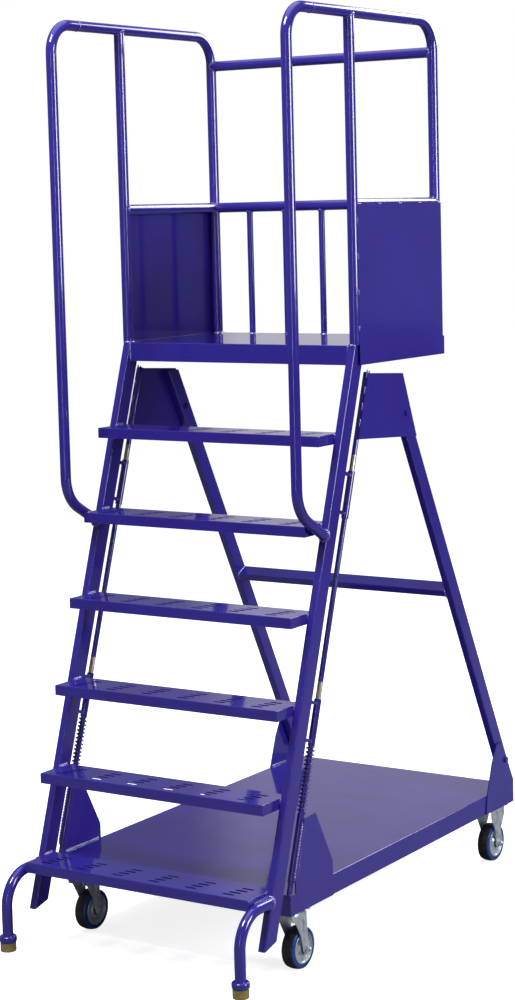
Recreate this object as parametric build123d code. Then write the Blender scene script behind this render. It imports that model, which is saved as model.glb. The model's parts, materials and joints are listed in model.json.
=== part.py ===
from build123d import *
import math
import os

# Platform step ladder: a sprung step section with a guarded platform, which slides on two
# guide rods fixed to a wheeled base. Under a person's weight it drops until its front feet
# stand on the floor.
#
# Millimetres, +Z up, +Y from the steps towards the back, +X to the right of a person climbing.
# Working heights are measured from the floor and working depths (Y) from the front edge of the
# bottom tread. Every piece is shifted at the end, so that the origin is in the middle of the
# footprint on the floor.

# ---- steps ----
RISER = 250.0
GOING = 84.2
TREAD_COUNT = 6
LIFT = 30.0                     # height of the feet above the floor while nobody is on it
TREAD_DEPTH = 130.0
TREAD_LIP = 31.0
TREAD_SHEET = 2.5
SLOT_LENGTH = 40.0
SLOT_WIDTH = 12.0
SLOT_GROUPS = 6
SLOT_GROUP_PITCH = 129.0
SLOTS_PER_GROUP = 4
SLOT_STEP_X = 8.0               # sideways step between the slots of one group
SLOT_STEP_Y = 21.5
FIRST_SLOT_Y = 27.0

# ---- stringers ----
HALF_INSIDE = 395.0             # from the middle to the inner face of a stringer
STRINGER_WIDTH = 25.0
STRINGER_DEPTH = 55.0
STRINGER_WALL = 2.0
STRINGER_SETBACK = 91.7         # horizontally, from a tread's front edge to the stringer's face
STRINGER_FOOT_Z = 124.5
STRINGER_FOOT_ANGLE = 14.2      # of the bottom cut, rising to the rear

# ---- round tube of handrails, posts and feet ----
TUBE = 32.0
TUBE_WALL = 2.0
RAIL_X = HALF_INSIDE + TUBE / 2
HOOP_FRONT_Y = 275.0
HOOP_TOP_Z = 2740.0
HOOP_RADIUS = 85.0
HOOP_HEEL_RADIUS = 110.0
HOOP_HEEL_Z = 1327.0
HOOP_HEEL_ANGLE = 30.0
HOOP_HEEL_RUN = 170.0           # from the front of the hoop to inside the stringer
POST_Y = 612.0
BACK_POST_Y = 1109.0
MID_RAIL_Z = 2190.0
BACK_RAIL_Z = 2648.0
BALUSTER = 20.0
BALUSTER_COUNT = 5

# ---- platform ----
PLATFORM_FRONT = 598.0
PLATFORM_BACK = 1127.0
PLATFORM_NOTCH_Y = 658.0        # the corners are cut out in front of this, round the stringers
PLATFORM_RIM = 58.0
PLATFORM_SHEET = 2.5
PANEL_SHEET = 2.0
PANEL_BACK = 1115.0

# ---- front feet ----
FOOT_Y = -72.0
FOOT_TUBE_Z = 254.0
FOOT_RADIUS = 95.0
COLLAR = 52.0
COLLAR_HEIGHT = 20.0
CAP = 47.0
CAP_HEIGHT = 27.0
CAP_WALL = 5.0

# ---- sliding guides and springs ----
ROD = 16.0
ROD_X = 410.5
ROD_DEPTH = 98.5                # square to the slope, behind the stringer's front face
ROD_TOP_Z = 1696.0
RUNNING_GAP = 0.05
PIPE = 21.3
SEAT_Z = (281.0, 467.0)
LOWER_SLEEVE_Z = (650.0, 778.0)
UPPER_SLEEVE_Z = (1280.0, 1413.0)
TAB_WIDTH = 8.0
TAB_LENGTH = 10.0
TAB_INSET = 13.0
WIRE = 3.2
SPRING_MEAN = 22.0
SPRING_COILS = 16

# ---- wheeled base ----
DECK_HALF = 421.0
DECK_FRONT = 170.0
DECK_BACK = 1563.0
DECK_TOP = 251.0
DECK_RIM = 60.0
DECK_SHEET = 3.0
PLATE = 4.0                     # gussets and brackets
GUSSET_CORNERS = ((401.0, 295.0), (314.0, 458.0))       # Y, Z of the rear corners
GUSSET_TOP_Z = 455.0
GUSSET_NOTCH = (28.0, 30.0)     # width and height of the cut round the foot of a rod
TOP_GUSSET_CORNERS = ((950.0, 1481.0), (872.0, 1680.0))
TOP_GUSSET_Z = (1505.0, 1695.0)                         # ends of its front edge
BRACKET_CORNERS = ((1563.0, 266.0), (1484.0, 410.0), (1447.0, 408.0), (1415.0, 354.0), (1376.0, 251.0))
BRACKET_FOOT_Y = 1367.0
TOP_PLATE_X = 418.2             # inner face of the top gussets, outer face of the rear legs
TOP_GUSSET_DEPTH = 92.0         # front edge, measured as ROD_DEPTH is
LEG_WIDTH = 25.0
LEG_DEPTH = 50.0
LEG_WALL = 2.0
LEG_TOP_Z = 1677.0
LEG_BOTTOM_Z = 300.0
TOP_BOLT = (887.0, 1558.0)      # Y, Z
BOTTOM_BOLT = (1507.0, 345.0)
CROSSBAR_Z = 965.0

# ---- castors ----
WHEEL = 125.0
WHEEL_X = 374.0
FRONT_SWIVEL_Y = 242.0
TRAIL = 40.0
BACK_AXLE_Y = 1492.0
BEAM_WIDTH = 112.0
BEAM_WALL = 3.0
CASTOR_PLATE = (90.0, 105.0, 4.0)
CASTOR_BOLT_SPAN = (72.0, 80.0)
PLATE_CORNER = 6.0
KINGPIN = 6.0                   # radius
RACE = 30.0                     # smaller radius of the two ball races
RACE_FLARE = 4.0
RACE_TOP = 180.0                # height of the joint between the races
RACE_GAP = 0.4
CROWN_TOP = 174.0
CROWN_SHEET = 4.0
FORK_GAP_HALF = 26.0
FORK_SHEET = 3.0
FORK_BOSS = 15.0
FORK_CORNER = 12.0
FORK_RIB = 2.0
SWIVEL_FORK_Y = (-34.0, 44.0)   # front and back of the crown, from the swivel
SWIVEL_FORK_FRONT = ((-34.0, 158.0), (-14.0, 152.0), (14.0, 104.0), (26.0, 62.5))
SWIVEL_FORK_REAR = ((54.0, 62.5), (48.0, 110.0))
SWIVEL_FORK_RIB = (34.0, 88.0, 160.0, 14.0)             # Y, low Z, high Z, width
RIGID_FORK_FRONT = ((-46.0, 187.0), (-44.0, 152.0), (-18.0, 106.0), (-14.0, 62.5))
RIGID_FORK_RIB = (0.0, 80.0, 184.0, 20.0)
AXLE = 10.0
WASHER = 1.5
WHEEL_WIDTH = 40.0
WHEEL_PLAY = 0.3
TYRE_WIDTH = 30.0
TYRE_ROOT = 57.0                # radius under the tyre
CROWN_RADIUS = 60.0             # of the curve across the tread
SHOULDER = 4.0
RIM = 46.5                      # radius of the pocket that holds the cover
HUB = 17.0
HUB_HALF = 22.5
WEB = 12.0
COVER_OUTSIDE = ((21.0, 17.0), (21.0, 20.0), (16.0, 25.0), (15.5, 40.0), (19.0, 43.0), (19.0, 46.5))
COVER_INSIDE = ((12.0, 46.5), (12.0, 43.0), (13.5, 40.0), (13.5, 25.0), (14.0, 17.0))
COVER_BEAD = (19.1, 44.6, 1.9)  # X, radius from the axle and its own radius

# ---- bolts: shank diameter, width across flats, head height, nut height ----
M10 = (10.0, 17.0, 6.4, 8.4)
M8 = (8.0, 13.0, 5.3, 6.5)
HOLE_PLAY = 0.5
THREAD_LEFT = 1.35              # length past the grip, as a share of the nut's height

BIG = 4000.0                    # longer than anything here
SLOPE_ANGLE = math.atan2(GOING, RISER)
SIN = math.sin(SLOPE_ANGLE)
COS = math.cos(SLOPE_ANGLE)
FIRST_TREAD_Z = RISER + LIFT
PLATFORM_Z = FIRST_TREAD_Z + TREAD_COUNT * RISER
DECK_BOTTOM = DECK_TOP - DECK_RIM
FRONT_AXLE_Y = FRONT_SWIVEL_Y + TRAIL
AXLE_Z = WHEEL / 2
MIDDLE_Y = (FOOT_Y - COLLAR / 2 + DECK_BACK) / 2

# Along the stringers: local X is across, Y is square to the slope towards the back, Z is up it.
SLOPE = Plane(origin=(0, STRINGER_SETBACK, FIRST_TREAD_Z), x_dir=(1, 0, 0), z_dir=(0, SIN, COS))


def along(height, depth):
    """Distance up the slope of the point at this height and this depth behind the stringer's face."""
    return (height - FIRST_TREAD_Z + depth * SIN) / COS


def slope_y(height, depth):
    """Y of the point at this height and this depth behind the stringer's face."""
    return STRINGER_SETBACK + along(height, depth) * SIN + depth * COS


def above(height):
    return Pos(0, 0, height) * Box(BIG, BIG, BIG, align=(Align.CENTER, Align.CENTER, Align.MIN))


def below(height):
    return Pos(0, 0, height) * Box(BIG, BIG, BIG, align=(Align.CENTER, Align.CENTER, Align.MAX))


def plate(outline, inner_x, thickness):
    """A flat plate square to X, from its outline as (Y, Z) points, anticlockwise."""
    return extrude(Plane.YZ.offset(inner_x) * Polygon(*outline, align=None), amount=thickness)


def rod_between(start, end, diameter):
    axis = Vector(*end) - Vector(*start)
    return extrude(Plane(origin=start, z_dir=axis) * Circle(diameter / 2), amount=axis.length)


def tube_ring():
    return Circle(TUBE / 2) - Circle(TUBE / 2 - TUBE_WALL)


def tube_between(start, end, diameter, wall):
    axis = Vector(*end) - Vector(*start)
    ring = Circle(diameter / 2) - Circle(diameter / 2 - wall)
    return extrude(Plane(origin=start, z_dir=axis) * ring, amount=axis.length)


def box_tube(plane, width, depth, wall, start, end):
    corner = 2 * wall
    section = RectangleRounded(width, depth, corner) - RectangleRounded(
        width - 2 * wall, depth - 2 * wall, corner - wall)
    return extrude(plane.offset(start) * section, amount=end - start)


def bent_bar(points, radii, section):
    path = FilletPolyline(*points, radius=radii)
    return sweep(Plane(origin=path @ 0, z_dir=path % 0) * section, path=path)


def pan(outline, height, rim, sheet, corner):
    """Folded sheet tray, open below: outline in X and Y, its top face at this height."""
    inner = offset(outline, amount=-sheet, kind=Kind.INTERSECTION)
    body = extrude(Pos(0, 0, height - rim) * outline, amount=rim)
    body = fillet(body.faces().sort_by(Axis.Z)[-1].edges(), corner)
    return body - extrude(Pos(0, 0, height - rim) * inner, amount=rim - sheet)


def mirrored(piece):
    return mirror(piece, about=Plane.YZ)


def pair(piece):
    return [piece, mirrored(piece)]


# ---- step section ----

def stringer():
    middle_x = HALF_INSIDE + STRINGER_WIDTH / 2
    plane = SLOPE * Pos(middle_x, STRINGER_DEPTH / 2, 0)
    axis_plane = Plane(plane)
    low = along(STRINGER_FOOT_Z, 0) - STRINGER_DEPTH
    high = along(PLATFORM_Z, STRINGER_DEPTH) + STRINGER_DEPTH
    tube = box_tube(axis_plane, STRINGER_WIDTH, STRINGER_DEPTH, STRINGER_WALL, low, high)
    foot_front = (0, slope_y(STRINGER_FOOT_Z, 0), STRINGER_FOOT_Z)
    foot_cut = Pos(*foot_front) * Rot(STRINGER_FOOT_ANGLE, 0, 0) * below(0)
    return tube - above(PLATFORM_Z) - foot_cut


def tread(index):
    top = FIRST_TREAD_Z + index * RISER
    front = index * GOING
    outline = Pos(0, front + TREAD_DEPTH / 2) * Rectangle(2 * HALF_INSIDE, TREAD_DEPTH)
    body = pan(outline, top, TREAD_LIP, TREAD_SHEET, TREAD_SHEET)
    slots = Sketch()
    for group in range(SLOT_GROUPS):
        group_x = (group - (SLOT_GROUPS - 1) / 2) * SLOT_GROUP_PITCH
        for slot in range(SLOTS_PER_GROUP):
            shift = slot - (SLOTS_PER_GROUP - 1) / 2
            x = group_x + shift * SLOT_STEP_X
            y = front + FIRST_SLOT_Y + slot * SLOT_STEP_Y
            slots += Pos(x, y) * SlotOverall(SLOT_LENGTH, SLOT_WIDTH)
    return body - extrude(Pos(0, 0, top - TREAD_LIP / 2) * slots, amount=TREAD_LIP)


def platform():
    outline = Polygon(
        (-HALF_INSIDE, PLATFORM_FRONT), (HALF_INSIDE, PLATFORM_FRONT),
        (HALF_INSIDE, PLATFORM_NOTCH_Y), (RAIL_X + TUBE / 2, PLATFORM_NOTCH_Y),
        (RAIL_X + TUBE / 2, PLATFORM_BACK), (-RAIL_X - TUBE / 2, PLATFORM_BACK),
        (-RAIL_X - TUBE / 2, PLATFORM_NOTCH_Y), (-HALF_INSIDE, PLATFORM_NOTCH_Y),
        align=None)
    return pan(outline, PLATFORM_Z, PLATFORM_RIM, PLATFORM_SHEET, PLATFORM_SHEET)


def side_panel():
    bottom = PLATFORM_Z - PLATFORM_RIM
    corners = [(POST_Y, bottom), (PANEL_BACK, bottom), (PANEL_BACK, MID_RAIL_Z), (POST_Y, MID_RAIL_Z)]
    return plate(corners, RAIL_X + TUBE / 2, PANEL_SHEET)


def stringer_face_cut(height):
    """Room taken by the stringer behind its front face, near this height."""
    block = Box(3 * TUBE, STRINGER_DEPTH, 8 * TUBE, align=(Align.CENTER, Align.MIN, Align.CENTER))
    return SLOPE * Pos(RAIL_X, 0, along(height, 0)) * block


def hoop(section):
    """From the stringer's face forward and up, over the platform and down to its back."""
    heel_drop = HOOP_HEEL_RUN * math.tan(math.radians(HOOP_HEEL_ANGLE))
    points = [
        (RAIL_X, HOOP_FRONT_Y + HOOP_HEEL_RUN, HOOP_HEEL_Z - heel_drop),
        (RAIL_X, HOOP_FRONT_Y, HOOP_HEEL_Z),
        (RAIL_X, HOOP_FRONT_Y, HOOP_TOP_Z),
        (RAIL_X, BACK_POST_Y, HOOP_TOP_Z),
        (RAIL_X, BACK_POST_Y, PLATFORM_Z),
    ]
    bar = bent_bar(points, [HOOP_HEEL_RADIUS, HOOP_RADIUS, HOOP_RADIUS], section)
    return bar - stringer_face_cut(points[0][2])


def handrail():
    return hoop(tube_ring())


def platform_post():
    post = tube_between((RAIL_X, POST_Y, PLATFORM_Z), (RAIL_X, POST_Y, HOOP_TOP_Z), TUBE, TUBE_WALL)
    top_bar = rod_between((RAIL_X, HOOP_FRONT_Y, HOOP_TOP_Z), (RAIL_X, BACK_POST_Y, HOOP_TOP_Z), TUBE)
    return post - top_bar


def back_rail(height):
    rail = tube_between((-RAIL_X, BACK_POST_Y, height), (RAIL_X, BACK_POST_Y, height), TUBE, TUBE_WALL)
    right_hoop = hoop(Circle(TUBE / 2))
    return rail - right_hoop - mirrored(right_hoop)


def side_mid_rail():
    z = MID_RAIL_Z
    rail = tube_between((RAIL_X, POST_Y, z), (RAIL_X, BACK_POST_Y, z), TUBE, TUBE_WALL)
    for y in (POST_Y, BACK_POST_Y):
        rail -= rod_between((RAIL_X, y, z - TUBE), (RAIL_X, y, z + TUBE), TUBE)
    return rail - rod_between((0, BACK_POST_Y, z), (RAIL_X, BACK_POST_Y, z), TUBE)


def balusters():
    spacing = 2 * RAIL_X / (BALUSTER_COUNT + 1)
    rail = rod_between((-RAIL_X, BACK_POST_Y, MID_RAIL_Z), (RAIL_X, BACK_POST_Y, MID_RAIL_Z), TUBE)
    made = []
    for number in range(1, BALUSTER_COUNT + 1):
        x = -RAIL_X + number * spacing
        bar = tube_between((x, BACK_POST_Y, PLATFORM_Z), (x, BACK_POST_Y, MID_RAIL_Z), BALUSTER, TUBE_WALL)
        made.append(bar - rail)
    return made


def foot_tube():
    start = (RAIL_X, FOOT_Y, LIFT + CAP_WALL)
    corner = (RAIL_X, FOOT_Y, FOOT_TUBE_Z)
    end = (RAIL_X, slope_y(FOOT_TUBE_Z, 0) + TUBE / 2, FOOT_TUBE_Z)
    return bent_bar([start, corner, end], [FOOT_RADIUS], tube_ring()) - stringer_face_cut(FOOT_TUBE_Z)


def foot_collar():
    place = Pos(RAIL_X, FOOT_Y, LIFT + CAP_HEIGHT)
    ring = extrude(place * (Circle(COLLAR / 2) - Circle(TUBE / 2)), amount=COLLAR_HEIGHT)
    rims = ring.edges().filter_by(GeomType.CIRCLE).group_by(SortBy.RADIUS)[-1]
    return fillet(rims, COLLAR_HEIGHT * 0.3)


def foot_cap():
    place = Pos(RAIL_X, FOOT_Y, LIFT)
    cup = extrude(place * Circle(CAP / 2), amount=CAP_HEIGHT)
    cup = fillet(cup.faces().sort_by(Axis.Z)[0].edges(), CAP_WALL / 2)
    socket = extrude(Pos(0, 0, CAP_WALL) * place * Circle(TUBE / 2), amount=CAP_HEIGHT)
    return cup - socket


# ---- guides ----

def pipe(heights):
    low, high = [along(height, ROD_DEPTH) for height in heights]
    section = Circle(PIPE / 2) - Circle(ROD / 2 + RUNNING_GAP)
    return extrude(SLOPE.offset(low) * Pos(ROD_X, ROD_DEPTH) * section, amount=high - low)


def guide_rod():
    low = along(DECK_TOP, ROD_DEPTH) - ROD
    high = along(ROD_TOP_Z, ROD_DEPTH)
    bar = extrude(SLOPE.offset(low) * Pos(ROD_X, ROD_DEPTH) * Circle(ROD / 2), amount=high - low)
    return bar - below(DECK_TOP)


def sleeve_tabs():
    made = []
    for heights in (LOWER_SLEEVE_Z, UPPER_SLEEVE_Z):
        low, high = [along(height, ROD_DEPTH) for height in heights]
        sleeve = extrude(SLOPE.offset(low) * Pos(ROD_X, ROD_DEPTH) * Circle(PIPE / 2), amount=high - low)
        for station in (low + TAB_INSET, high - TAB_INSET):
            reach = ROD_DEPTH - STRINGER_DEPTH
            block = Box(TAB_WIDTH, reach, TAB_LENGTH, align=(Align.CENTER, Align.MIN, Align.CENTER))
            made.append(SLOPE * Pos(ROD_X, STRINGER_DEPTH, station) * block - sleeve)
    return made


def spring():
    low = along(SEAT_Z[1], ROD_DEPTH) + WIRE / 2
    high = along(LOWER_SLEEVE_Z[0], ROD_DEPTH) - WIRE / 2
    coil = Helix(pitch=(high - low) / SPRING_COILS, height=high - low, radius=SPRING_MEAN / 2)
    wire = sweep(Plane(origin=coil @ 0, z_dir=coil % 0) * Circle(WIRE / 2), path=coil, is_frenet=True)
    return SLOPE * Pos(ROD_X, ROD_DEPTH, low) * wire


def guide_keepout(diameter):
    bar = extrude(SLOPE * Pos(ROD_X, ROD_DEPTH) * Circle(diameter / 2), amount=BIG / 2)
    return bar + extrude(SLOPE * Pos(ROD_X, ROD_DEPTH) * Circle(diameter / 2), amount=-BIG / 8)


# ---- wheeled base ----

def deck():
    depth = DECK_BACK - DECK_FRONT
    outline = Pos(0, DECK_FRONT + depth / 2) * Rectangle(2 * DECK_HALF, depth)
    return pan(outline, DECK_TOP, DECK_RIM, DECK_SHEET, DECK_SHEET)


def castor_places():
    """Middle of each castor's top plate."""
    return [(side * WHEEL_X, y) for y in (FRONT_SWIVEL_Y, BACK_AXLE_Y) for side in (1, -1)]


def bolt_places(centre_x, centre_y):
    across, back = CASTOR_BOLT_SPAN
    return [(centre_x + i * across / 2, centre_y + j * back / 2) for i in (-1, 1) for j in (-1, 1)]


def castor_beams():
    made = []
    length = 2 * (DECK_HALF - DECK_SHEET)
    height = DECK_RIM - DECK_SHEET
    for y in (FRONT_SWIVEL_Y, BACK_AXLE_Y):
        outside = Pos(0, y, DECK_BOTTOM + height / 2) * Box(length, BEAM_WIDTH, height)
        inside = Pos(0, y, DECK_BOTTOM + height / 2) * Box(
            length, BEAM_WIDTH - 2 * BEAM_WALL, height - 2 * BEAM_WALL)
        made.append(outside - inside - castor_bottom_holes(y))
    return made


def castor_bottom_holes(y):
    hole = Cylinder((M8[0] + HOLE_PLAY) / 2, 4 * BEAM_WALL)
    spots = [spot for side in (1, -1) for spot in bolt_places(side * WHEEL_X, y)]
    return Part() + [Pos(a, b, DECK_BOTTOM) * hole for a, b in spots]


def front_gusset():
    rear_corner, top_corner = GUSSET_CORNERS
    foot_y = slope_y(DECK_TOP, ROD_DEPTH)
    outline = [
        (DECK_FRONT, DECK_BOTTOM), (rear_corner[0], DECK_BOTTOM), rear_corner, top_corner,
        (slope_y(GUSSET_TOP_Z, ROD_DEPTH), GUSSET_TOP_Z), (foot_y, DECK_TOP), (DECK_FRONT, DECK_TOP)]
    width, height = GUSSET_NOTCH
    notch = Pos(DECK_HALF, foot_y, DECK_TOP + height / 2) * Box(4 * PLATE, width, height)
    return plate(outline, DECK_HALF, PLATE) - guide_keepout(PIPE) - notch


def top_gusset():
    low, high = TOP_GUSSET_Z
    outline = [
        *TOP_GUSSET_CORNERS, (slope_y(high, TOP_GUSSET_DEPTH), high), (slope_y(low, TOP_GUSSET_DEPTH), low)]
    return plate(outline, TOP_PLATE_X, PLATE) - guide_keepout(ROD) - bolt_hole(TOP_BOLT)


def back_bracket():
    outline = [(DECK_BACK, DECK_BOTTOM), *BRACKET_CORNERS, (BRACKET_FOOT_Y, DECK_BOTTOM)]
    return plate(outline, DECK_HALF, PLATE) - bolt_hole(BOTTOM_BOLT)


def bolt_hole(place):
    y, z = place
    return Pos(DECK_HALF, y, z) * Rot(0, 90, 0) * Cylinder((M10[0] + HOLE_PLAY) / 2, 4 * LEG_WIDTH)


def leg_plane():
    run = BOTTOM_BOLT[0] - TOP_BOLT[0]
    rise = BOTTOM_BOLT[1] - TOP_BOLT[1]
    middle_x = TOP_PLATE_X - LEG_WIDTH / 2
    return Plane(origin=(middle_x, *TOP_BOLT), x_dir=(1, 0, 0), z_dir=(0, -run, -rise))


def leg():
    tube = box_tube(leg_plane(), LEG_WIDTH, LEG_DEPTH, LEG_WALL, -BIG / 2, BIG / 2)
    tube = tube - above(LEG_TOP_Z) - below(LEG_BOTTOM_Z)
    return tube - bolt_hole(TOP_BOLT) - bolt_hole(BOTTOM_BOLT)


def crossbar():
    frame = leg_plane()
    up = (CROSSBAR_Z - TOP_BOLT[1]) / frame.z_dir.Z
    inside = TOP_PLATE_X - LEG_WIDTH
    centre = frame.origin + frame.z_dir * up
    across = Plane(origin=(-inside, centre.Y, centre.Z), x_dir=frame.z_dir, z_dir=(1, 0, 0))
    return box_tube(across, LEG_WIDTH, LEG_DEPTH, LEG_WALL, 0, 2 * inside)


def bolt(size, length):
    """Hexagon bolt along +Z, with the underside of its head at the origin."""
    shank, flats, head, _ = size
    hexagon = RegularPolygon(flats / 2, 6, major_radius=False)
    return extrude(hexagon, amount=-head) + extrude(Circle(shank / 2), amount=length)


def nut(size):
    shank, flats, _, height = size
    hexagon = RegularPolygon(flats / 2, 6, major_radius=False)
    return extrude(hexagon - Circle(shank / 2), amount=height)


def leg_fixings():
    made = []
    inside = TOP_PLATE_X - LEG_WIDTH
    for place, outside in ((TOP_BOLT, TOP_PLATE_X + PLATE), (BOTTOM_BOLT, DECK_HALF + PLATE)):
        inward = Plane(origin=(outside, *place), x_dir=(0, 1, 0), z_dir=(-1, 0, 0))
        grip = outside - inside
        made.append(inward * bolt(M10, grip + THREAD_LEFT * M10[3]))
        made.append(inward.offset(grip) * nut(M10))
    washer = Circle(M10[0]) - Circle((M10[0] + HOLE_PLAY) / 2)
    spacer = Plane(origin=(TOP_PLATE_X, *BOTTOM_BOLT), x_dir=(0, 1, 0), z_dir=(1, 0, 0)) * washer
    made.append(extrude(spacer, amount=DECK_HALF - TOP_PLATE_X))
    return made


def castor_fixings():
    made = []
    plate_thickness = CASTOR_PLATE[2]
    grip = plate_thickness + BEAM_WALL
    for place in castor_places():
        for x, y in bolt_places(*place):
            flats_across = Pos(x, y, DECK_BOTTOM) * Rot(0, 0, 30)
            made.append(flats_across * Pos(0, 0, -plate_thickness) * bolt(M8, grip + THREAD_LEFT * M8[3]))
            made.append(flats_across * Pos(0, 0, BEAM_WALL) * nut(M8))
    return made


# ---- castors ----

def castor_plate_holes():
    hole = Cylinder((M8[0] + HOLE_PLAY) / 2, DECK_RIM)
    return Part() + [Pos(x, y, 0) * hole for x, y in bolt_places(0, 0)]


def cone(radius_low, low, radius_high, high):
    """Solid turned about Z, with a slanting rim between two heights."""
    profile = Polygon((0, low), (radius_low, low), (radius_high, high), (0, high), align=None)
    return revolve(Plane.XZ * profile, axis=Axis.Z)


def castor_plate():
    """Bolted top plate of a swivelling castor, with its upper ball race and its kingpin."""
    width, length, thickness = CASTOR_PLATE
    under = DECK_BOTTOM - thickness
    slab = extrude(Pos(0, 0, under) * RectangleRounded(width, length, PLATE_CORNER), amount=thickness)
    slab -= Pos(0, 0, under) * castor_plate_holes()
    race = cone(RACE, RACE_TOP, RACE + RACE_FLARE, under)
    button_top = CROWN_TOP - CROWN_SHEET - RACE_GAP
    pin = extrude(Pos(0, 0, button_top) * Circle(KINGPIN), amount=DECK_BOTTOM - button_top)
    button = extrude(Pos(0, 0, button_top) * Circle(1.6 * KINGPIN), amount=-CROWN_SHEET)
    return slab + race + pin + button


def fork_legs(outline, axle_y, rib):
    """Both legs of a fork: Y from the fork's centre, Z from the floor. Each is a plate with a boss
    round the axle and, on its outside, a pressed upright rib."""
    shape = Polygon(*outline, align=None)
    waist = [corner for corner in shape.vertices() if AXLE_Z + 1 < corner.Y < CROWN_TOP - 1]
    shape = fillet(waist, FORK_CORNER) + Pos(axle_y, AXLE_Z) * Circle(FORK_BOSS)
    side = Plane.YZ.offset(FORK_GAP_HALF)
    rib_y, rib_low, rib_high, rib_width = rib
    slot = Pos(rib_y, (rib_low + rib_high) / 2) * SlotOverall(rib_high - rib_low, rib_width, 90)
    one = extrude(side * shape, amount=FORK_SHEET) + extrude(side * slot, amount=FORK_SHEET + FORK_RIB)
    one -= Pos(FORK_GAP_HALF, axle_y, AXLE_Z) * Rot(0, 90, 0) * Cylinder(AXLE / 2, FORK_GAP_HALF)
    return one + mirrored(one)


def swivel_fork():
    front, back = SWIVEL_FORK_Y
    outline = [(front, CROWN_TOP), *SWIVEL_FORK_FRONT, *SWIVEL_FORK_REAR, (back, CROWN_TOP)]
    legs = fork_legs(outline, TRAIL, SWIVEL_FORK_RIB)
    width = 2 * (FORK_GAP_HALF + FORK_SHEET)
    crown = Pos(0, (front + back) / 2, CROWN_TOP - CROWN_SHEET / 2) * Box(width, back - front, CROWN_SHEET)
    fork = legs + crown
    fork = fillet(fork.edges().filter_by(Axis.Y).group_by(Axis.Z)[-1], FORK_SHEET)
    fork += cone(RACE + RACE_FLARE, CROWN_TOP - CROWN_SHEET / 2, RACE, RACE_TOP - RACE_GAP)
    return fork - Pos(0, 0, CROWN_TOP) * Cylinder(KINGPIN + RUNNING_GAP, DECK_RIM)


def rigid_fork():
    width, length, thickness = CASTOR_PLATE
    under = DECK_BOTTOM - thickness
    rear_edge = [(-y, z) for y, z in reversed(RIGID_FORK_FRONT)]
    legs = fork_legs([*RIGID_FORK_FRONT, *rear_edge], 0, RIGID_FORK_RIB)
    slab = extrude(Pos(0, 0, under) * RectangleRounded(width, length, PLATE_CORNER), amount=thickness)
    return slab + legs - Pos(0, 0, under) * castor_plate_holes()


def cap_nut(size):
    """Domed nut, standing on the origin."""
    shank, flats, _, height = size
    body = extrude(RegularPolygon(flats / 2, 6, major_radius=False), amount=height)
    dome = Pos(0, 0, height) * Sphere(0.4 * flats)
    return body + dome - extrude(Circle(shank / 2), amount=height)


def axle_set():
    """Axle bolt, domed nut, washers and spacers, along X through the origin."""
    half = FORK_GAP_HALF + FORK_SHEET
    reach = half + WASHER
    washer = extrude(Circle(1.1 * AXLE) - Circle(AXLE / 2), amount=WASHER)
    inner = Plane(origin=(-reach, 0, 0), x_dir=(0, 1, 0), z_dir=(1, 0, 0))
    outer = Plane(origin=(half, 0, 0), x_dir=(0, 1, 0), z_dir=(1, 0, 0))
    made = [inner * bolt(M10, 2 * reach + M10[3]), inner * washer, outer * washer]
    made.append(outer.offset(WASHER) * cap_nut(M10))
    for end in (1, -1):
        start = (end * (HUB_HALF + WHEEL_PLAY), 0, 0)
        stop = (end * FORK_GAP_HALF, 0, 0)
        made.append(tube_between(start, stop, 1.6 * AXLE, 0.3 * AXLE))
    return made


def wheel_section():
    """Outer shape of a wheel: its half above the axle, with X across it and Y outward."""
    crown = Pos(0, AXLE_Z - CROWN_RADIUS) * Circle(CROWN_RADIUS)
    section = crown & (Pos(0, AXLE_Z / 2) * Rectangle(WHEEL_WIDTH, AXLE_Z))
    return fillet(section.vertices().group_by(Axis.Y)[-1], SHOULDER)


def tyre_strip():
    return Pos(0, (TYRE_ROOT + AXLE_Z) / 2) * Rectangle(TYRE_WIDTH, AXLE_Z - TYRE_ROOT)


def tyre():
    return revolve(wheel_section() & tyre_strip(), axis=Axis.X)


def wheel_core():
    """Plastic wheel centre: hub, web and rim."""
    section = wheel_section() - tyre_strip()
    pocket_width = WHEEL_WIDTH - WEB / 2
    for end in (1, -1):
        pocket = Rectangle(pocket_width, RIM - HUB)
        section -= Pos(end * (WEB + pocket_width) / 2, (RIM + HUB) / 2) * pocket
    section += Pos(0, HUB / 2) * Rectangle(2 * HUB_HALF, HUB)
    section -= Rectangle(4 * HUB_HALF, AXLE + 2 * RUNNING_GAP)
    return revolve(section, axis=Axis.X)


def wheel_covers():
    """Pressed steel discs in the wheel's sides, each with a rolled rim."""
    bead_x, bead_out, bead_radius = COVER_BEAD
    rolled = Pos(bead_x, bead_out) * Circle(bead_radius)
    disc = revolve(Polygon(*COVER_OUTSIDE, *COVER_INSIDE, align=None) + rolled, axis=Axis.X)
    return pair(disc)


# ---- writing ----

def write(name, pieces):
    pieces = pieces if isinstance(pieces, list) else [pieces]
    solids = [solid for piece in pieces for solid in piece.solids()]
    moved = [Pos(0, -MIDDLE_Y, 0) * solid for solid in solids]
    body = moved[0] if len(moved) == 1 else Compound(children=moved)
    export_step(body, f"parts/{name}.step")


def write_sides(name, piece):
    write(name + "_right", piece)
    write(name + "_left", mirrored(piece))


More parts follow.
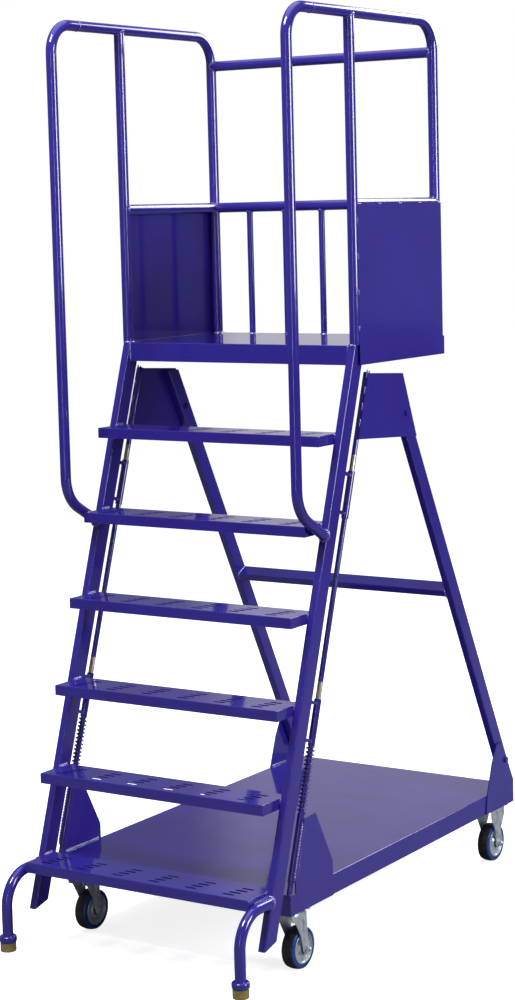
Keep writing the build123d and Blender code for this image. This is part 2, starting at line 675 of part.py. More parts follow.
def main():
    os.makedirs("parts", exist_ok=True)

    write_sides("stringer", stringer())
    for index in range(TREAD_COUNT):
        write(f"tread_{index + 1}", tread(index))
    write("platform", platform())
    write_sides("side_panel", side_panel())
    write_sides("handrail", handrail())
    write("platform_posts", pair(platform_post()))
    write("side_mid_rails", pair(side_mid_rail()))
    write("back_top_rail", back_rail(BACK_RAIL_Z))
    write("back_mid_rail", back_rail(MID_RAIL_Z))
    write("balusters", balusters())
    write_sides("foot_tube", foot_tube())
    write("foot_collars", pair(foot_collar()))
    write("foot_caps", pair(foot_cap()))

    sleeves = [pipe(LOWER_SLEEVE_Z), pipe(UPPER_SLEEVE_Z)]
    write("guide_sleeves", [half for sleeve in sleeves for half in pair(sleeve)])
    write("sleeve_tabs", [half for tab in sleeve_tabs() for half in pair(tab)])
    write("guide_rods", pair(guide_rod()))
    write("spring_seat_tubes", pair(pipe(SEAT_Z)))
    write_sides("spring", spring())

    write("deck_tray", deck())
    write("castor_beams", castor_beams())
    write_sides("front_gusset", front_gusset())
    write_sides("top_gusset", top_gusset())
    write_sides("back_bracket", back_bracket())
    write_sides("back_leg", leg())
    write("crossbar", crossbar())
    write("leg_fixings", [half for piece in leg_fixings() for half in pair(piece)])
    write("castor_fixings", castor_fixings())

    write("front_castor_plates", pair(Pos(WHEEL_X, FRONT_SWIVEL_Y, 0) * castor_plate()))
    write("back_castor_forks", pair(Pos(WHEEL_X, BACK_AXLE_Y, 0) * rigid_fork()))
    back_axles = [Pos(WHEEL_X, BACK_AXLE_Y, AXLE_Z) * piece for piece in axle_set()]
    write("back_castor_axles", [half for piece in back_axles for half in pair(piece)])
    for side_name, side in (("right", 1), ("left", -1)):
        centre = Pos(side * WHEEL_X, FRONT_SWIVEL_Y, 0)
        write(f"front_castor_fork_{side_name}", centre * swivel_fork())
        hub = Pos(side * WHEEL_X, FRONT_AXLE_Y, AXLE_Z)
        axle = [piece if side > 0 else mirrored(piece) for piece in axle_set()]
        write(f"front_castor_axle_{side_name}", [hub * piece for piece in axle])
        for end_name, axle_y in (("front", FRONT_AXLE_Y), ("back", BACK_AXLE_Y)):
            hub = Pos(side * WHEEL_X, axle_y, AXLE_Z)
            write(f"wheel_core_{end_name}_{side_name}", hub * wheel_core())
            write(f"tyre_{end_name}_{side_name}", hub * tyre())
            write(f"wheel_covers_{end_name}_{side_name}", [hub * disc for disc in wheel_covers()])


main()
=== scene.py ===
import json
import math
import random

import bmesh
import bpy
from mathutils import Matrix, Vector


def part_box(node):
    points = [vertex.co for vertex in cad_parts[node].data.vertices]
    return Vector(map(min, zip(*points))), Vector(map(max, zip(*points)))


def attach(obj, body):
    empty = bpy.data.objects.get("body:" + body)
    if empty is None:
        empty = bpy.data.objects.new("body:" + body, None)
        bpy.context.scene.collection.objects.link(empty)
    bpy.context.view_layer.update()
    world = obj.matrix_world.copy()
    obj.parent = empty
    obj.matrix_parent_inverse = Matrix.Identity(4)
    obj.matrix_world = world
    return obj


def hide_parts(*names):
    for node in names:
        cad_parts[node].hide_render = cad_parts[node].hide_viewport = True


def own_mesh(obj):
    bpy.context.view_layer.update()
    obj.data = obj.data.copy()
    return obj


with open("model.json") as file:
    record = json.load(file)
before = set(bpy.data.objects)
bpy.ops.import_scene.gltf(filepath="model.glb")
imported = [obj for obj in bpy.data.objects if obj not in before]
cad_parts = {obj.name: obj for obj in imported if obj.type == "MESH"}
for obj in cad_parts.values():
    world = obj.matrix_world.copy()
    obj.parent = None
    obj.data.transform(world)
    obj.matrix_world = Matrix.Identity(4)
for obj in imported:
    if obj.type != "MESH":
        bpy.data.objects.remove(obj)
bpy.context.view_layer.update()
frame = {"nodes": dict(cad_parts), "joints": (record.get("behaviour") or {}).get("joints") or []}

# ---------------------------------------------------------------- places, read from the frame

MM = 0.001
X = Vector((1, 0, 0))
Y = Vector((0, 1, 0))
Z = Vector((0, 0, 1))


def joint(name):
    return next(j for j in frame["joints"] if j["name"] == name)


UP_SLOPE = -Vector(joint("ladder_slide")["axis"]).normalized()
BEHIND = X.cross(UP_SLOPE) * -1                 # square to the slope, towards the back


def reach(node, direction):
    """Lowest and highest place of a node along a direction."""
    steps = [v.co.dot(direction) for v in frame["nodes"][node].data.vertices]
    return min(steps), max(steps)


def middle(node):
    low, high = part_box(node)
    return (low + high) / 2


def both(stem):
    return [stem + "_left", stem + "_right"]


def on_slope(x, depth, station):
    """Point beside the stringers: square to the slope behind the origin, and up it."""
    return X * x + BEHIND * depth + UP_SLOPE * station


ROD_X = middle("spring_right").x
LOWER_SLEEVE_LENGTH = 0.13506
UPPER_SLEEVE_LENGTH = 0.14034
TUBE_RADIUS = 16 * MM
BALUSTER_RADIUS = 10 * MM
CAP_RADIUS = 23.5 * MM
RUBBED_LENGTH = 50 * MM         # bare steel above each sleeve of a guide rod
RING_STEPS = 36


# ---------------------------------------------------------------- material helpers

def new_material(name):
    material = bpy.data.materials.new(name)
    material.use_nodes = True
    material.node_tree.nodes.clear()
    return material


class Graph:
    """Short calls for building one material's nodes."""

    def __init__(self, material):
        self.nodes = material.node_tree.nodes
        self.links = material.node_tree.links
        self.place = self.add("ShaderNodeTexCoord").outputs["Object"]

    def add(self, kind, inputs=None, **settings):
        node = self.nodes.new(kind)
        for key, value in settings.items():
            setattr(node, key, value)
        for key, value in (inputs or {}).items():
            self.put(node.inputs[key], value)
        return node

    def put(self, socket, value):
        if isinstance(value, bpy.types.NodeSocket):
            self.links.new(value, socket)
        else:
            socket.default_value = value

    def noise(self, scale, detail=2.0, roughness=0.5, stretch=None):
        place = self.place
        if stretch:
            place = self.add("ShaderNodeMapping", {"Vector": place, "Scale": stretch}).outputs[0]
        inputs = {"Vector": place, "Scale": scale, "Detail": detail, "Roughness": roughness}
        return self.add("ShaderNodeTexNoise", inputs).outputs["Fac"]

    def ramp(self, value, low, high, out_low=0.0, out_high=1.0):
        inputs = {"Value": value, "From Min": low, "From Max": high, "To Min": out_low, "To Max": out_high}
        return self.add("ShaderNodeMapRange", inputs, clamp=True).outputs[0]

    def math(self, operation, a, b=0.0):
        return self.add("ShaderNodeMath", {0: a, 1: b}, operation=operation).outputs[0]

    def dot(self, a, b):
        return self.add("ShaderNodeVectorMath", {0: a, 1: b}, operation="DOT_PRODUCT").outputs["Value"]

    def mix(self, share, a, b):
        node = self.add("ShaderNodeMix", data_type="RGBA")
        self.put(node.inputs[0], share)
        self.put(node.inputs[6], a)
        self.put(node.inputs[7], b)
        return node.outputs[2]

    def bump(self, height, distance, strength=1.0, normal=None):
        node = self.add("ShaderNodeBump", {"Height": height, "Distance": distance, "Strength": strength})
        if normal is not None:
            self.put(node.inputs["Normal"], normal)
        return node.outputs[0]

    def edge(self, width):
        """Near one on an edge of the piece, and zero on its flats."""
        rounded = self.add("ShaderNodeBevel", {"Radius": width}, samples=4).outputs[0]
        flat = self.add("ShaderNodeNewGeometry").outputs["True Normal"]
        return self.ramp(self.dot(rounded, flat), 0.995, 0.86)

    def finish(self, **inputs):
        shader = self.add("ShaderNodeBsdfPrincipled")
        for key, value in inputs.items():
            self.put(shader.inputs[key.replace("_", " ")], value)
        out = self.add("ShaderNodeOutputMaterial")
        self.links.new(shader.outputs[0], out.inputs[0])


PAINT_BLUE = (0.030, 0.020, 0.270, 1)
PAINT_DEEP = (0.026, 0.016, 0.230, 1)
PAINT_THIN = (0.060, 0.050, 0.36, 1)              # on edges
# lighter blue for the weld beads: a painted glint that stands in for the lamps' highlights on them
WELD_GLINT_BLUE = (0.16, 0.15, 0.50, 1)


def enamel(graph, flat_sheet):
    """Colour, roughness and normal of thick glossy enamel, wavier over flat sheet."""
    cloud = graph.noise(5.0, 3.0)
    colour = graph.mix(graph.ramp(cloud, 0.35, 0.7), PAINT_BLUE, PAINT_DEEP)
    edge = graph.edge(1.6 * MM)
    colour = graph.mix(graph.math("MULTIPLY", edge, 0.55), colour, PAINT_THIN)
    rough = graph.ramp(graph.noise(60.0, 4.0), 0.3, 0.75, 0.07, 0.16)
    waves = graph.bump(graph.noise(7.0, 1.0), (0.9 if flat_sheet else 0.15) * MM)
    peel = graph.bump(graph.noise(420.0, 1.5), 0.035 * MM, normal=waves)
    nib_cells = graph.add("ShaderNodeTexVoronoi", {"Vector": graph.place, "Scale": 38.0}).outputs["Distance"]
    nibs = graph.ramp(nib_cells, 0.055, 0.0)
    normal = graph.bump(nibs, 0.25 * MM, normal=peel)
    return colour, rough, normal


def paint(name, flat_sheet=False):
    material = new_material(name)
    graph = Graph(material)
    colour, rough, normal = enamel(graph, flat_sheet)
    graph.finish(Base_Color=colour, Roughness=rough, Normal=normal, Coat_Weight=0.6, Coat_Roughness=0.03)
    return material


def weld_paint():
    """Enamel over a weld: glossier, uneven all over, with patches of lighter blue that are painted glints.
    """
    material = new_material("weld_enamel_painted_glints")
    graph = Graph(material)
    # painted glints: the lighter blue mixed in by noise over each bead
    colour = graph.mix(graph.noise(90.0), PAINT_BLUE, WELD_GLINT_BLUE)
    normal = graph.bump(graph.noise(170.0, 1.0), 0.25 * MM)
    graph.finish(
        Base_Color=colour, Roughness=0.18, Normal=normal, Coat_Weight=1.0, Coat_Roughness=0.06,
        Coat_IOR=1.9)
    return material


def zinc():
    """Bright zinc plate: cloudy, slightly blue, with a little grime."""
    material = new_material("zinc_plate")
    graph = Graph(material)
    bloom = graph.noise(55.0, 4.0)
    colour = graph.mix(graph.ramp(bloom, 0.3, 0.7), (0.46, 0.51, 0.57, 1), (0.68, 0.72, 0.75, 1))
    grime = graph.ramp(graph.noise(14.0, 5.0, 0.7), 0.60, 0.78)
    colour = graph.mix(graph.math("MULTIPLY", grime, 0.3), colour, (0.25, 0.23, 0.20, 1))
    rough = graph.ramp(bloom, 0.25, 0.8, 0.24, 0.42)
    normal = graph.bump(graph.noise(700.0, 2.0), 0.03 * MM)
    graph.finish(Base_Color=colour, Metallic=0.55, Roughness=rough, Normal=normal)
    return material


def rod_finish(bands):
    """Painted rod, rubbed down to bare steel over the bands, given as places up the slope."""
    material = new_material("guide_rod_finish")
    graph = Graph(material)
    colour, rough, normal = enamel(graph, False)
    station = graph.dot(graph.place, tuple(UP_SLOPE))
    ragged = graph.math("MULTIPLY", graph.math("SUBTRACT", graph.noise(110.0, 4.0), 0.5), 7 * MM)
    station = graph.math("ADD", station, ragged)
    fade = 0.4 * MM
    bare = 0.0
    for low, high in bands:
        off = graph.math("ABSOLUTE", graph.math("SUBTRACT", station, (low + high) / 2))
        inside = graph.ramp(off, (high - low) / 2 + fade, (high - low) / 2 - fade)
        bare = graph.math("MAXIMUM", bare, inside)
    scratch = graph.noise(160.0, 4.0, stretch=(1, 0.35, 0.12))
    steel = graph.mix(graph.ramp(scratch, 0.35, 0.65), (0.30, 0.25, 0.20, 1), (0.62, 0.56, 0.49, 1))
    graph.finish(
        Base_Color=graph.mix(bare, colour, steel),
        Metallic=bare,
        Roughness=graph.ramp(bare, 0.0, 1.0, 0.12, 0.34),
        Normal=normal,
        Coat_Weight=graph.ramp(bare, 0.0, 1.0, 0.6, 0.0),
        Coat_Roughness=0.03)
    return material


def rubber():
    material = new_material("tyre_rubber")
    graph = Graph(material)
    dust = graph.ramp(graph.noise(70.0, 5.0, 0.65), 0.42, 0.72)
    colour = graph.mix(graph.math("MULTIPLY", dust, 0.5), (0.016, 0.016, 0.018, 1), (0.11, 0.105, 0.10, 1))
    rough = graph.ramp(dust, 0.0, 1.0, 0.42, 0.78)
    normal = graph.bump(graph.noise(900.0, 3.0), 0.06 * MM)
    graph.finish(Base_Color=colour, Roughness=rough, Normal=normal, Specular_IOR_Level=0.4)
    return material


def wheel_plastic():
    material = new_material("wheel_plastic")
    graph = Graph(material)
    swirl = graph.noise(40.0, 3.0)
    colour = graph.mix(graph.ramp(swirl, 0.3, 0.7), (0.010, 0.035, 0.20, 1), (0.018, 0.06, 0.27, 1))
    rough = graph.ramp(swirl, 0.3, 0.7, 0.26, 0.42)
    normal = graph.bump(graph.noise(500.0, 2.0), 0.05 * MM)
    graph.finish(Base_Color=colour, Roughness=rough, Normal=normal)
    return material


def amber_plastic():
    material = new_material("amber_plastic")
    graph = Graph(material)
    cloud = graph.noise(120.0, 3.0)
    colour = graph.mix(graph.ramp(cloud, 0.3, 0.7), (0.30, 0.23, 0.055, 1), (0.42, 0.34, 0.11, 1))
    normal = graph.bump(graph.noise(260.0, 2.0), 0.15 * MM)
    graph.finish(
        Base_Color=colour, Roughness=0.22, Normal=normal, Transmission_Weight=0.35, IOR=1.48,
        Coat_Weight=0.4)
    return material


def floor_finish():
    """White studio floor, shown as bright as the backdrop and dull in the object's gloss."""
    material = new_material("floor_finish")
    graph = Graph(material)
    path = graph.add("ShaderNodeLightPath").outputs
    white = graph.mix(graph.noise(2.0, 4.0), (0.80, 0.80, 0.81, 1), (0.84, 0.84, 0.84, 1))
    colour = graph.mix(path["Is Camera Ray"], (0.16, 0.16, 0.18, 1), white)
    graph.finish(
        Base_Color=colour, Roughness=0.6, Specular_IOR_Level=0.2, Emission_Color=(1, 1, 1, 1),
        Emission_Strength=graph.math("MULTIPLY", path["Is Camera Ray"], 0.80))
    return material


# ---------------------------------------------------------------- mesh helpers

def add_object(name, mesh, material, smooth=True):
    if smooth:
        for face in mesh.polygons:
            face.use_smooth = True
    piece = bpy.data.objects.new(name, mesh)
    bpy.context.scene.collection.objects.link(piece)
    mesh.materials.append(material)
    return piece


def tube_along(shape, points, radii, sides=8, closed=False):
    """Adds to the bmesh a round tube through the points, with its own radius at each."""
    count = len(points)
    rings = []
    side_way = None
    for i, point in enumerate(points):
        before = points[(i - 1) % count] if closed or i else point
        after = points[(i + 1) % count] if closed or i < count - 1 else point
        along = (after - before).normalized()
        if side_way is None:
            side_way = along.orthogonal().normalized()
        side_way = (side_way - along * side_way.dot(along)).normalized()
        other = along.cross(side_way)
        ring = []
        for k in range(sides):
            turn = 2 * math.pi * k / sides
            way = side_way * math.cos(turn) + other * math.sin(turn)
            ring.append(shape.verts.new(point + way * radii[i]))
        rings.append(ring)
    pairs = list(zip(rings, rings[1:]))
    if closed:
        pairs.append((rings[-1], rings[0]))
    for first, second in pairs:
        for k in range(sides):
            j = (k + 1) % sides
            shape.faces.new((first[k], first[j], second[j], second[k]))
    if not closed:
        shape.faces.new(list(reversed(rings[0])))
        shape.faces.new(rings[-1])


def resample(points, step, closed=False):
    """The same line with points at even distances."""
    line = list(points) + ([points[0]] if closed else [])
    lengths = [(b - a).length for a, b in zip(line, line[1:])]
    total = sum(lengths)
    count = max(3, round(total / step))
    made = []
    for i in range(count + (0 if closed else 1)):
        left = total * i / count
        k = 0
        while k < len(lengths) - 1 and left > lengths[k]:
            left -= lengths[k]
            k += 1
        share = min(1.0, left / max(lengths[k], 1e-9))
        made.append(line[k].lerp(line[k + 1], share))
    return made


class Welds:
    """Gathers the weld beads of one part of the frame into one mesh."""

    def __init__(self, name, body, seed):
        self.name = name
        self.body = body
        self.random = random.Random(seed)
        self.shape = bmesh.new()

    def bead(self, points, radius, closed=False):
        """A rippled bead with slightly uneven width, its ends drawn in."""
        line = resample(points, radius * 0.55, closed)
        count = len(line)
        ripple = 2 * math.pi * max(2, round(count / 4)) / count
        wander = self.random.uniform(0, 6.28)
        radii = []
        for i in range(count):
            size = 1 + 0.20 * math.sin(ripple * i) + 0.10 * math.sin(0.11 * i + wander)
            if not closed:
                size *= min(1.0, 0.45 + 0.2 * min(i, count - 1 - i))
            radii.append(radius * size * self.random.uniform(0.94, 1.06))
        tube_along(self.shape, line, radii, closed=closed)

    def line(self, start, end, radius):
        self.bead([Vector(start), Vector(end)], radius)

    def stitches(self, start, end, radius, length, pitch):
        """Short beads at even spacing along a seam."""
        start, end = Vector(start), Vector(end)
        total = (end - start).length
        way = (end - start).normalized()
        count = max(1, int((total - length) / pitch) + 1)
        spare = (total - (count - 1) * pitch - length) / 2
        for i in range(count):
            first = start + way * (spare + i * pitch)
            self.line(first, first + way * length, radius)

    def ring_on_plane(self, centre, axis, tube_radius, face_point, face_normal, radius, away=None):
        """Round a tube where it meets a flat face, open on the side that faces away, if given."""
        axis = axis.normalized()
        side_way = axis.orthogonal().normalized() if away is None else away
        other = axis.cross(side_way)
        first, last = (0, RING_STEPS) if away is None else (6, 31)
        points = []
        for k in range(first, last):
            turn = 2 * math.pi * k / RING_STEPS
            point = centre + (side_way * math.cos(turn) + other * math.sin(turn)) * tube_radius
            point = point + axis * ((face_point - point).dot(face_normal) / axis.dot(face_normal))
            points.append(point)
        self.bead(points, radius, closed=away is None)

    def ring_on_tube(self, centre, axis, tube_radius, line_point, line_axis, line_radius, radius):
        """Round a tube where it meets the side of another tube. centre lies towards the free end."""
        axis = axis.normalized()
        side_way = axis.cross(line_axis).normalized()
        other = axis.cross(side_way)
        points = []
        for k in range(RING_STEPS):
            turn = 2 * math.pi * k / RING_STEPS
            point = centre + (side_way * math.cos(turn) + other * math.sin(turn)) * tube_radius * 0.98
            off = point - line_point
            off = off - line_axis * off.dot(line_axis)
            way = axis - line_axis * axis.dot(line_axis)
            a = way.dot(way)
            b = 2 * off.dot(way)
            c = off.dot(off) - line_radius ** 2
            inside = max(0.0, b * b - 4 * a * c)
            points.append(point + axis * ((-b - math.sqrt(inside)) / (2 * a)))
        self.bead(points, radius, closed=True)

    def done(self, material):
        mesh = bpy.data.meshes.new(self.name)
        bmesh.ops.recalc_face_normals(self.shape, faces=self.shape.faces)
        self.shape.to_mesh(mesh)
        self.shape.free()
        piece = add_object(self.name, mesh, material)
        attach(piece, self.body)


# ---------------------------------------------------------------- camera, light and floor

CAMERA_PLACE = Vector((3.7338, -5.6921, 2.180))
CAMERA_YAW = math.radians(32.62)
CAMERA_PITCH = math.radians(-6.076)
CAMERA_ROLL = math.radians(-1.380)
CAMERA_LENS = 80.0
CAMERA_SHIFT = (-0.0299, -0.0542)
FLOOR_HALF = 30.0
LAMPS = (                       # name, place, aim, width, height, watts
    ("side", (6.0, 0.6, 2.9), (0, 0, 1.6), 2.4, 2.4, 255),
    ("front_high", (-0.5, -3.5, 6.2), (0, 0, 1.2), 2.0, 2.0, 340),
    ("overhead", (-0.3, 0.0, 5.8), (-0.3, 0.0, 0), 4.5, 4.5, 60),
    ("back_high", (1.0, 4.2, 4.0), (0, 0.3, 0.2), 2.5, 2.5, 140),
    ("strip_front", (2.4, -6.4, 2.2), (0, 0, 1.4), 0.22, 3.8, 30))


def add_camera():
    ahead = Vector((
        -math.sin(CAMERA_YAW) * math.cos(CAMERA_PITCH),
        math.cos(CAMERA_YAW) * math.cos(CAMERA_PITCH),
        math.sin(CAMERA_PITCH)))
    right = ahead.cross(Z).normalized()
    above = right.cross(ahead)
    right_rolled = right * math.cos(CAMERA_ROLL) + above * math.sin(CAMERA_ROLL)
    above_rolled = above * math.cos(CAMERA_ROLL) - right * math.sin(CAMERA_ROLL)
    camera = bpy.data.objects.new("camera", bpy.data.cameras.new("camera"))
    bpy.context.scene.collection.objects.link(camera)
    turned = Matrix((right_rolled, above_rolled, -ahead)).transposed().to_4x4()
    camera.matrix_world = Matrix.Translation(CAMERA_PLACE) @ turned
    camera.data.lens = CAMERA_LENS
    camera.data.sensor_width = 36.0
    camera.data.shift_x, camera.data.shift_y = CAMERA_SHIFT
    camera.data.clip_end = 100.0
    bpy.context.scene.camera = camera


def area_light(name, place, aim, width, height, power):
    data = bpy.data.lights.new(name, "AREA")
    data.shape = "RECTANGLE"
    data.size = width
    data.size_y = height
    data.energy = power
    lamp = bpy.data.objects.new(name, data)
    bpy.context.scene.collection.objects.link(lamp)
    lamp.location = place
    lamp.rotation_euler = (Vector(aim) - Vector(place)).to_track_quat("-Z", "Y").to_euler()


def add_world():
    """White to the camera, a dim even fill, and in reflections a dark hall with one bright wall."""
    world = bpy.data.worlds.new("studio")
    bpy.context.scene.world = world
    world.use_nodes = True
    world.node_tree.nodes.clear()
    graph = Graph(world)
    path = graph.add("ShaderNodeLightPath").outputs
    direction = graph.place.node.outputs["Generated"]
    parts = graph.add("ShaderNodeSeparateXYZ", {0: direction}).outputs
    behind = graph.ramp(parts["Y"], 0.0, 0.1)
    bearing = graph.math("DIVIDE", parts["X"], graph.math("MAXIMUM", parts["Y"], 0.01))
    wall = graph.math("MULTIPLY", graph.ramp(bearing, -0.71, -0.67), graph.ramp(bearing, -0.05, -0.25))
    wall = graph.math("MULTIPLY", wall, graph.math("MULTIPLY", behind, graph.ramp(parts["Z"], 0.75, 0.45)))
    wall = graph.math("MULTIPLY", wall, graph.ramp(parts["Z"], 0.10, 0.30, 1.0, 0.62))
    hall = graph.mix(wall, (0.15, 0.15, 0.17, 1), (0.54, 0.52, 0.55, 1))
    hall = graph.mix(graph.ramp(parts["Z"], 0.75, 0.95), hall, (0.55, 0.55, 0.58, 1))
    light = graph.mix(path["Is Glossy Ray"], (0.26, 0.26, 0.27, 1), hall)
    light = graph.mix(path["Is Camera Ray"], light, (1.0, 1.0, 1.0, 1))
    background = graph.add("ShaderNodeBackground", {"Color": light})
    out = graph.add("ShaderNodeOutputWorld")
    graph.links.new(background.outputs[0], out.inputs[0])


def add_stage():
    mesh = bpy.data.meshes.new("floor")
    corners = [(FLOOR_HALF * i, FLOOR_HALF * j, 0) for i, j in ((-1, -1), (1, -1), (1, 1), (-1, 1))]
    mesh.from_pydata(corners, [], [(0, 1, 2, 3)])
    add_object("floor", mesh, floor_finish(), smooth=False)
    add_world()
    for lamp in LAMPS:
        area_light(*lamp)
    bpy.context.scene.view_settings.view_transform = "Standard"


# ---------------------------------------------------------------- springs

WIRE_RADIUS = 2.2 * MM
COIL_RADIUS = 11.6 * MM         # from the rod to the middle of the wire
COILS = 16
STEPS_PER_COIL = 20
WIRE_SIDES = 10


def add_springs(material):
    """Coils of real wire between the seat tubes and the lower sleeves."""
    seat_top = reach("spring_seat_tubes", UP_SLOPE)[1]
    coil_low, coil_high = reach("spring_right", UP_SLOPE)
    low = seat_top + WIRE_RADIUS
    high = coil_high - (coil_low - seat_top) - WIRE_RADIUS
    total = COILS * STEPS_PER_COIL
    for node in both("spring"):
        centre = middle(node)
        shape = bmesh.new()
        points = []
        for i in range(total + 1):
            turn = 2 * math.pi * i / STEPS_PER_COIL
            way = X * math.cos(turn) + BEHIND * math.sin(turn)
            point = on_slope(centre.x, centre.dot(BEHIND), low + (high - low) * i / total)
            points.append(point + way * COIL_RADIUS)
        tube_along(shape, points, [WIRE_RADIUS] * len(points), sides=WIRE_SIDES)
        mesh = bpy.data.meshes.new(node + "_coil")
        bmesh.ops.recalc_face_normals(shape, faces=shape.faces)
        shape.to_mesh(mesh)
        shape.free()
        piece = add_object(node + "_coil", mesh, material)
        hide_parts(node)
        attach(piece, "base")
        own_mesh(piece)


# ---------------------------------------------------------------- welds

BEAD = 4.0 * MM
FINE_BEAD = 2.7 * MM
TACK_BEAD = 2.4 * MM
TAB_BEAD = 2.0 * MM
SEAM_BEAD = 1.2 * MM
SHORT_OF_JOINT = 0.1            # a tube's end, away from the tube that it is welded to
HANDRAIL_HEEL_Z = 1.327         # where the handrail's lower bend ends on the stringer
HANDRAIL_HEEL_RISE = math.radians(30)
HEEL_LENGTH = 50 * MM           # straight end of the handrail, past that bend
SEAM_SETBACK = 0.125            # of the butt weld in the top bar, from the hoop's front
LEG_ALONG = -Vector((0, 620, -1213)).normalized()


def weld_steps(welds, side):
    """Tread and platform ends on the inner face of a stringer."""
    stringer_front = reach("stringer_right", BEHIND)[0]
    inner_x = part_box("stringer_right")[0].x * side
    for number in range(1, 7):
        low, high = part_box("tread_%d" % number)
        face_y = (stringer_front - Z.dot(BEHIND) * high.z) / Y.dot(BEHIND)
        welds.line((inner_x, face_y, low.z), (inner_x, face_y, high.z), BEAD)
        welds.line((inner_x, face_y, high.z), (inner_x, high.y, high.z), BEAD)
        welds.line((inner_x, face_y, low.z), (inner_x, high.y, low.z), BEAD)
    low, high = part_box("platform")
    welds.line((inner_x, low.y, low.z), (inner_x, low.y, high.z), BEAD)


def weld_tubes(welds, side):
    """Handrail, posts, rails and foot tube of one side."""
    out = X * side
    rail_x = middle("foot_caps").x + (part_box("foot_caps")[1].x - CAP_RADIUS) * side
    face_at = BEHIND * reach("stringer_right", BEHIND)[0]
    hoop_low, hoop_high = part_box("handrail_right")
    front_y = hoop_low.y + TUBE_RADIUS
    top_z = hoop_high.z - TUBE_RADIUS
    back_y = hoop_high.y - TUBE_RADIUS
    post_y = middle("platform_posts").y
    mid_z = middle("side_mid_rails").z
    floor_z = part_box("platform")[1].z
    heel_way = Vector((0, -math.cos(HANDRAIL_HEEL_RISE), math.sin(HANDRAIL_HEEL_RISE)))
    heel = Vector((rail_x, front_y, HANDRAIL_HEEL_Z)) - heel_way * HEEL_LENGTH
    welds.ring_on_plane(heel, heel_way, TUBE_RADIUS, face_at, BEHIND, BEAD)
    foot_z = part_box("foot_tube_right")[1].z - TUBE_RADIUS
    welds.ring_on_plane(Vector((rail_x, 0, foot_z)), Y, TUBE_RADIUS, face_at, BEHIND, BEAD)
    tread_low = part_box("tread_1")[0]
    crease = Vector((rail_x - 13.5 * MM * side, tread_low.y + 26 * MM, foot_z + 11 * MM))
    welds.line(crease, crease + Y * 60 * MM, BEAD)
    for y in (post_y, back_y):
        welds.ring_on_plane(Vector((rail_x, y, floor_z)), Z, TUBE_RADIUS, Z * floor_z, Z, BEAD, away=out)

    def tube_end(centre, axis, line_point, line_axis):
        welds.ring_on_tube(centre, axis, TUBE_RADIUS, line_point, line_axis, TUBE_RADIUS, FINE_BEAD)

    tube_end(Vector((rail_x, post_y, top_z - SHORT_OF_JOINT)), Z, Vector((rail_x, post_y, top_z)), Y)
    for y, way in ((post_y, 1), (back_y, -1)):
        centre = Vector((rail_x, y + way * SHORT_OF_JOINT, mid_z))
        tube_end(centre, Y * -way, Vector((rail_x, y, 0)), Z)
    for z in (mid_z, middle("back_top_rail").z):
        centre = Vector((rail_x - SHORT_OF_JOINT * side, back_y, z))
        tube_end(centre, out, Vector((rail_x, back_y, 0)), Z)
    seam = Vector((rail_x, front_y + SEAM_SETBACK, top_z))
    turns = [2 * math.pi * k / RING_STEPS for k in range(13, 42)]       # all but the top of the bar
    arc = [seam + (X * math.cos(turn) + Z * math.sin(turn)) * TUBE_RADIUS for turn in turns]
    welds.bead(arc, SEAM_BEAD)


def weld_balusters(welds):
    """Both ends of the thin tubes at the back of the platform."""
    floor_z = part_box("platform")[1].z
    rail = middle("back_mid_rail")
    low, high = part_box("balusters")
    spacing = (high.x - low.x - 2 * BALUSTER_RADIUS) / 4
    for number in range(5):
        x = low.x + BALUSTER_RADIUS + spacing * number
        foot = Vector((x, rail.y, floor_z))
        welds.ring_on_plane(foot, Z, BALUSTER_RADIUS, foot, Z, FINE_BEAD)
        top = Vector((x, rail.y, rail.z - SHORT_OF_JOINT))
        welds.ring_on_tube(top, Z, BALUSTER_RADIUS, rail, X, TUBE_RADIUS, FINE_BEAD)


def weld_panel(welds, side):
    """Tack welds along the edges of a side panel."""
    low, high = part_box("side_panel_right")
    x = (low.x + 0.3 * MM) * side
    inner_x = x - 2.2 * MM * side
    foot_z = low.z + 0.06
    outer_y = low.y - 0.5 * MM
    inner_y = low.y + 9 * MM
    welds.stitches((x, outer_y, foot_z), (x, outer_y, high.z), TACK_BEAD, 18 * MM, 0.105)
    welds.stitches((x, low.y, high.z), (x, high.y, high.z), TACK_BEAD, 18 * MM, 0.12)
    welds.stitches((inner_x, inner_y, foot_z), (inner_x, inner_y, high.z), 2.2 * MM, 16 * MM, 0.105)


def weld_tabs(welds, side):
    """Small beads where the sleeve tabs meet the stringer and the sleeves."""
    back = reach("stringer_right", BEHIND)[1]
    sleeve = reach("guide_sleeves", BEHIND)[0]
    low, high = reach("guide_sleeves", UP_SLOPE)
    tab_inset = 13 * MM
    sleeves = ((low, low + LOWER_SLEEVE_LENGTH), (high - UPPER_SLEEVE_LENGTH, high))
    stations = [place for start, end in sleeves for place in (start + tab_inset, end - tab_inset)]
    for station in stations:
        for edge in (-4.6 * MM, 4.6 * MM):
            for depth in (back + 1 * MM, sleeve + 0.5 * MM):
                start = on_slope(ROD_X * side + edge, depth, station - 5.5 * MM)
                welds.line(start, start + UP_SLOPE * 11 * MM, TAB_BEAD)


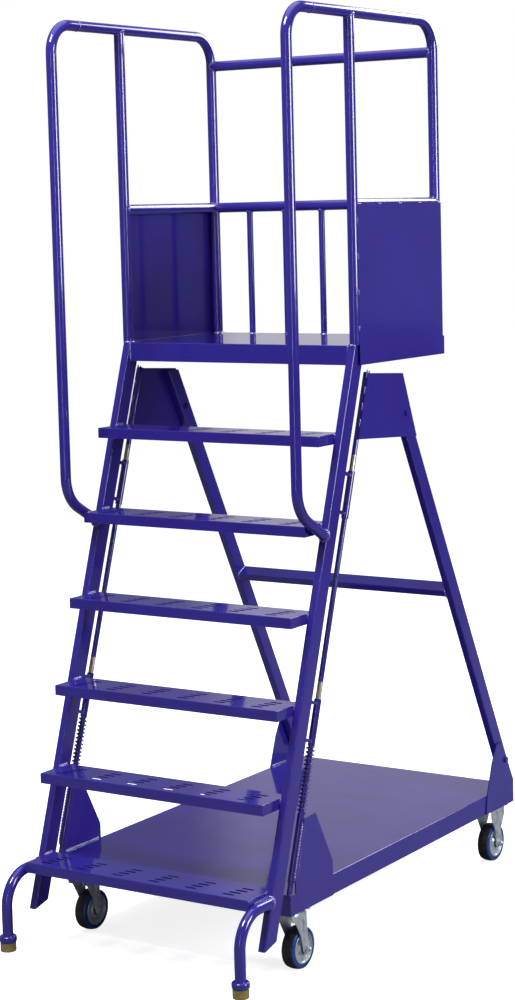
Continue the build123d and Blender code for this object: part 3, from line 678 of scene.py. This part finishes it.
def weld_base(welds, side):
    """Gussets, brackets, seat tubes and cross bar of one side of the base."""
    rod_depth = sum(reach("guide_rods", BEHIND)) / 2
    deck_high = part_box("deck_tray")[1]
    gusset_low, gusset_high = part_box("front_gusset_right")
    bracket_low, bracket_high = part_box("back_bracket_right")
    along_deck = (deck_high.x - 1.5 * MM) * side
    deck_z = deck_high.z + 1 * MM
    seams = ((gusset_low.y + 0.05, gusset_high.y - 0.012), (bracket_low.y + 0.015, bracket_high.y - 0.01))
    for front, back in seams:
        welds.line((along_deck, front, deck_z), (along_deck, back, deck_z), BEAD)
    seat_low, seat_high = reach("spring_seat_tubes", UP_SLOPE)
    for depth in (-2.5 * MM, 8.5 * MM):
        start = on_slope((ROD_X + 10.5 * MM) * side, rod_depth + depth, seat_low + 5 * MM)
        welds.line(start, start + UP_SLOPE * (seat_high - seat_low - 0.03), BEAD)
    top_low, top_high = reach("top_gusset_right", UP_SLOPE)
    for depth in (-6.5 * MM, 6.5 * MM):
        start = on_slope((ROD_X + 7.2 * MM) * side, rod_depth + depth, top_low + 0.025)
        end = start + UP_SLOPE * (top_high - top_low - 0.055)
        welds.stitches(start, end, FINE_BEAD, 26 * MM, 0.05)
    bar = middle("crossbar")
    bar.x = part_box("crossbar")[1].x * side
    leg_face = X.cross(LEG_ALONG)
    outline = (
        (-1, -0.85), (-1, 0.85), (-0.6, 1), (0.6, 1), (1, 0.85), (1, -0.85), (0.6, -1), (-0.6, -1))
    corners = [bar + LEG_ALONG * a * 12.8 * MM + leg_face * b * 25.3 * MM for a, b in outline]
    welds.bead(corners, FINE_BEAD, closed=True)


def add_welds(material):
    ladder = Welds("ladder_welds", "ladder", 11)
    base = Welds("base_welds", "base", 23)
    for side in (1, -1):
        weld_steps(ladder, side)
        weld_tubes(ladder, side)
        weld_panel(ladder, side)
        weld_tabs(ladder, side)
        weld_base(base, side)
    weld_balusters(ladder)
    ladder.done(material)
    base.done(material)


# ---------------------------------------------------------------- finishing the nodes

def dress(material, *names):
    for name in names:
        node = frame["nodes"][name]
        node.data.materials.clear()
        node.data.materials.append(material)


def main():
    add_camera()
    add_stage()
    tube_paint = paint("tube_enamel")
    sheet_paint = paint("sheet_enamel", flat_sheet=True)
    sheets = ["platform", "deck_tray", "castor_beams"] + ["tread_%d" % k for k in range(1, 7)]
    for stem in ("side_panel", "front_gusset", "top_gusset", "back_bracket"):
        sheets += both(stem)
    dress(sheet_paint, *sheets)
    tubes = [
        "crossbar", "leg_fixings", "platform_posts", "side_mid_rails", "back_top_rail", "back_mid_rail",
        "balusters", "foot_collars", "guide_sleeves", "sleeve_tabs", "spring_seat_tubes"]
    for stem in ("stringer", "handrail", "foot_tube", "back_leg", "spring"):
        tubes += both(stem)
    dress(tube_paint, *tubes)
    sleeve_low, sleeve_high = reach("guide_sleeves", UP_SLOPE)
    tops = (sleeve_low + LOWER_SLEEVE_LENGTH, sleeve_high)
    bands = [(top, top + RUBBED_LENGTH) for top in tops]
    dress(rod_finish(bands), "guide_rods")
    plated = ["castor_fixings", "front_castor_plates", "back_castor_forks", "back_castor_axles"]
    plated += both("front_castor_fork") + both("front_castor_axle")
    for end in ("front", "back"):
        plated += both("wheel_covers_" + end)
        dress(rubber(), *both("tyre_" + end))
        dress(wheel_plastic(), *both("wheel_core_" + end))
    dress(zinc(), *plated)
    dress(amber_plastic(), "foot_caps")
    add_springs(tube_paint)
    add_welds(weld_paint())


main()
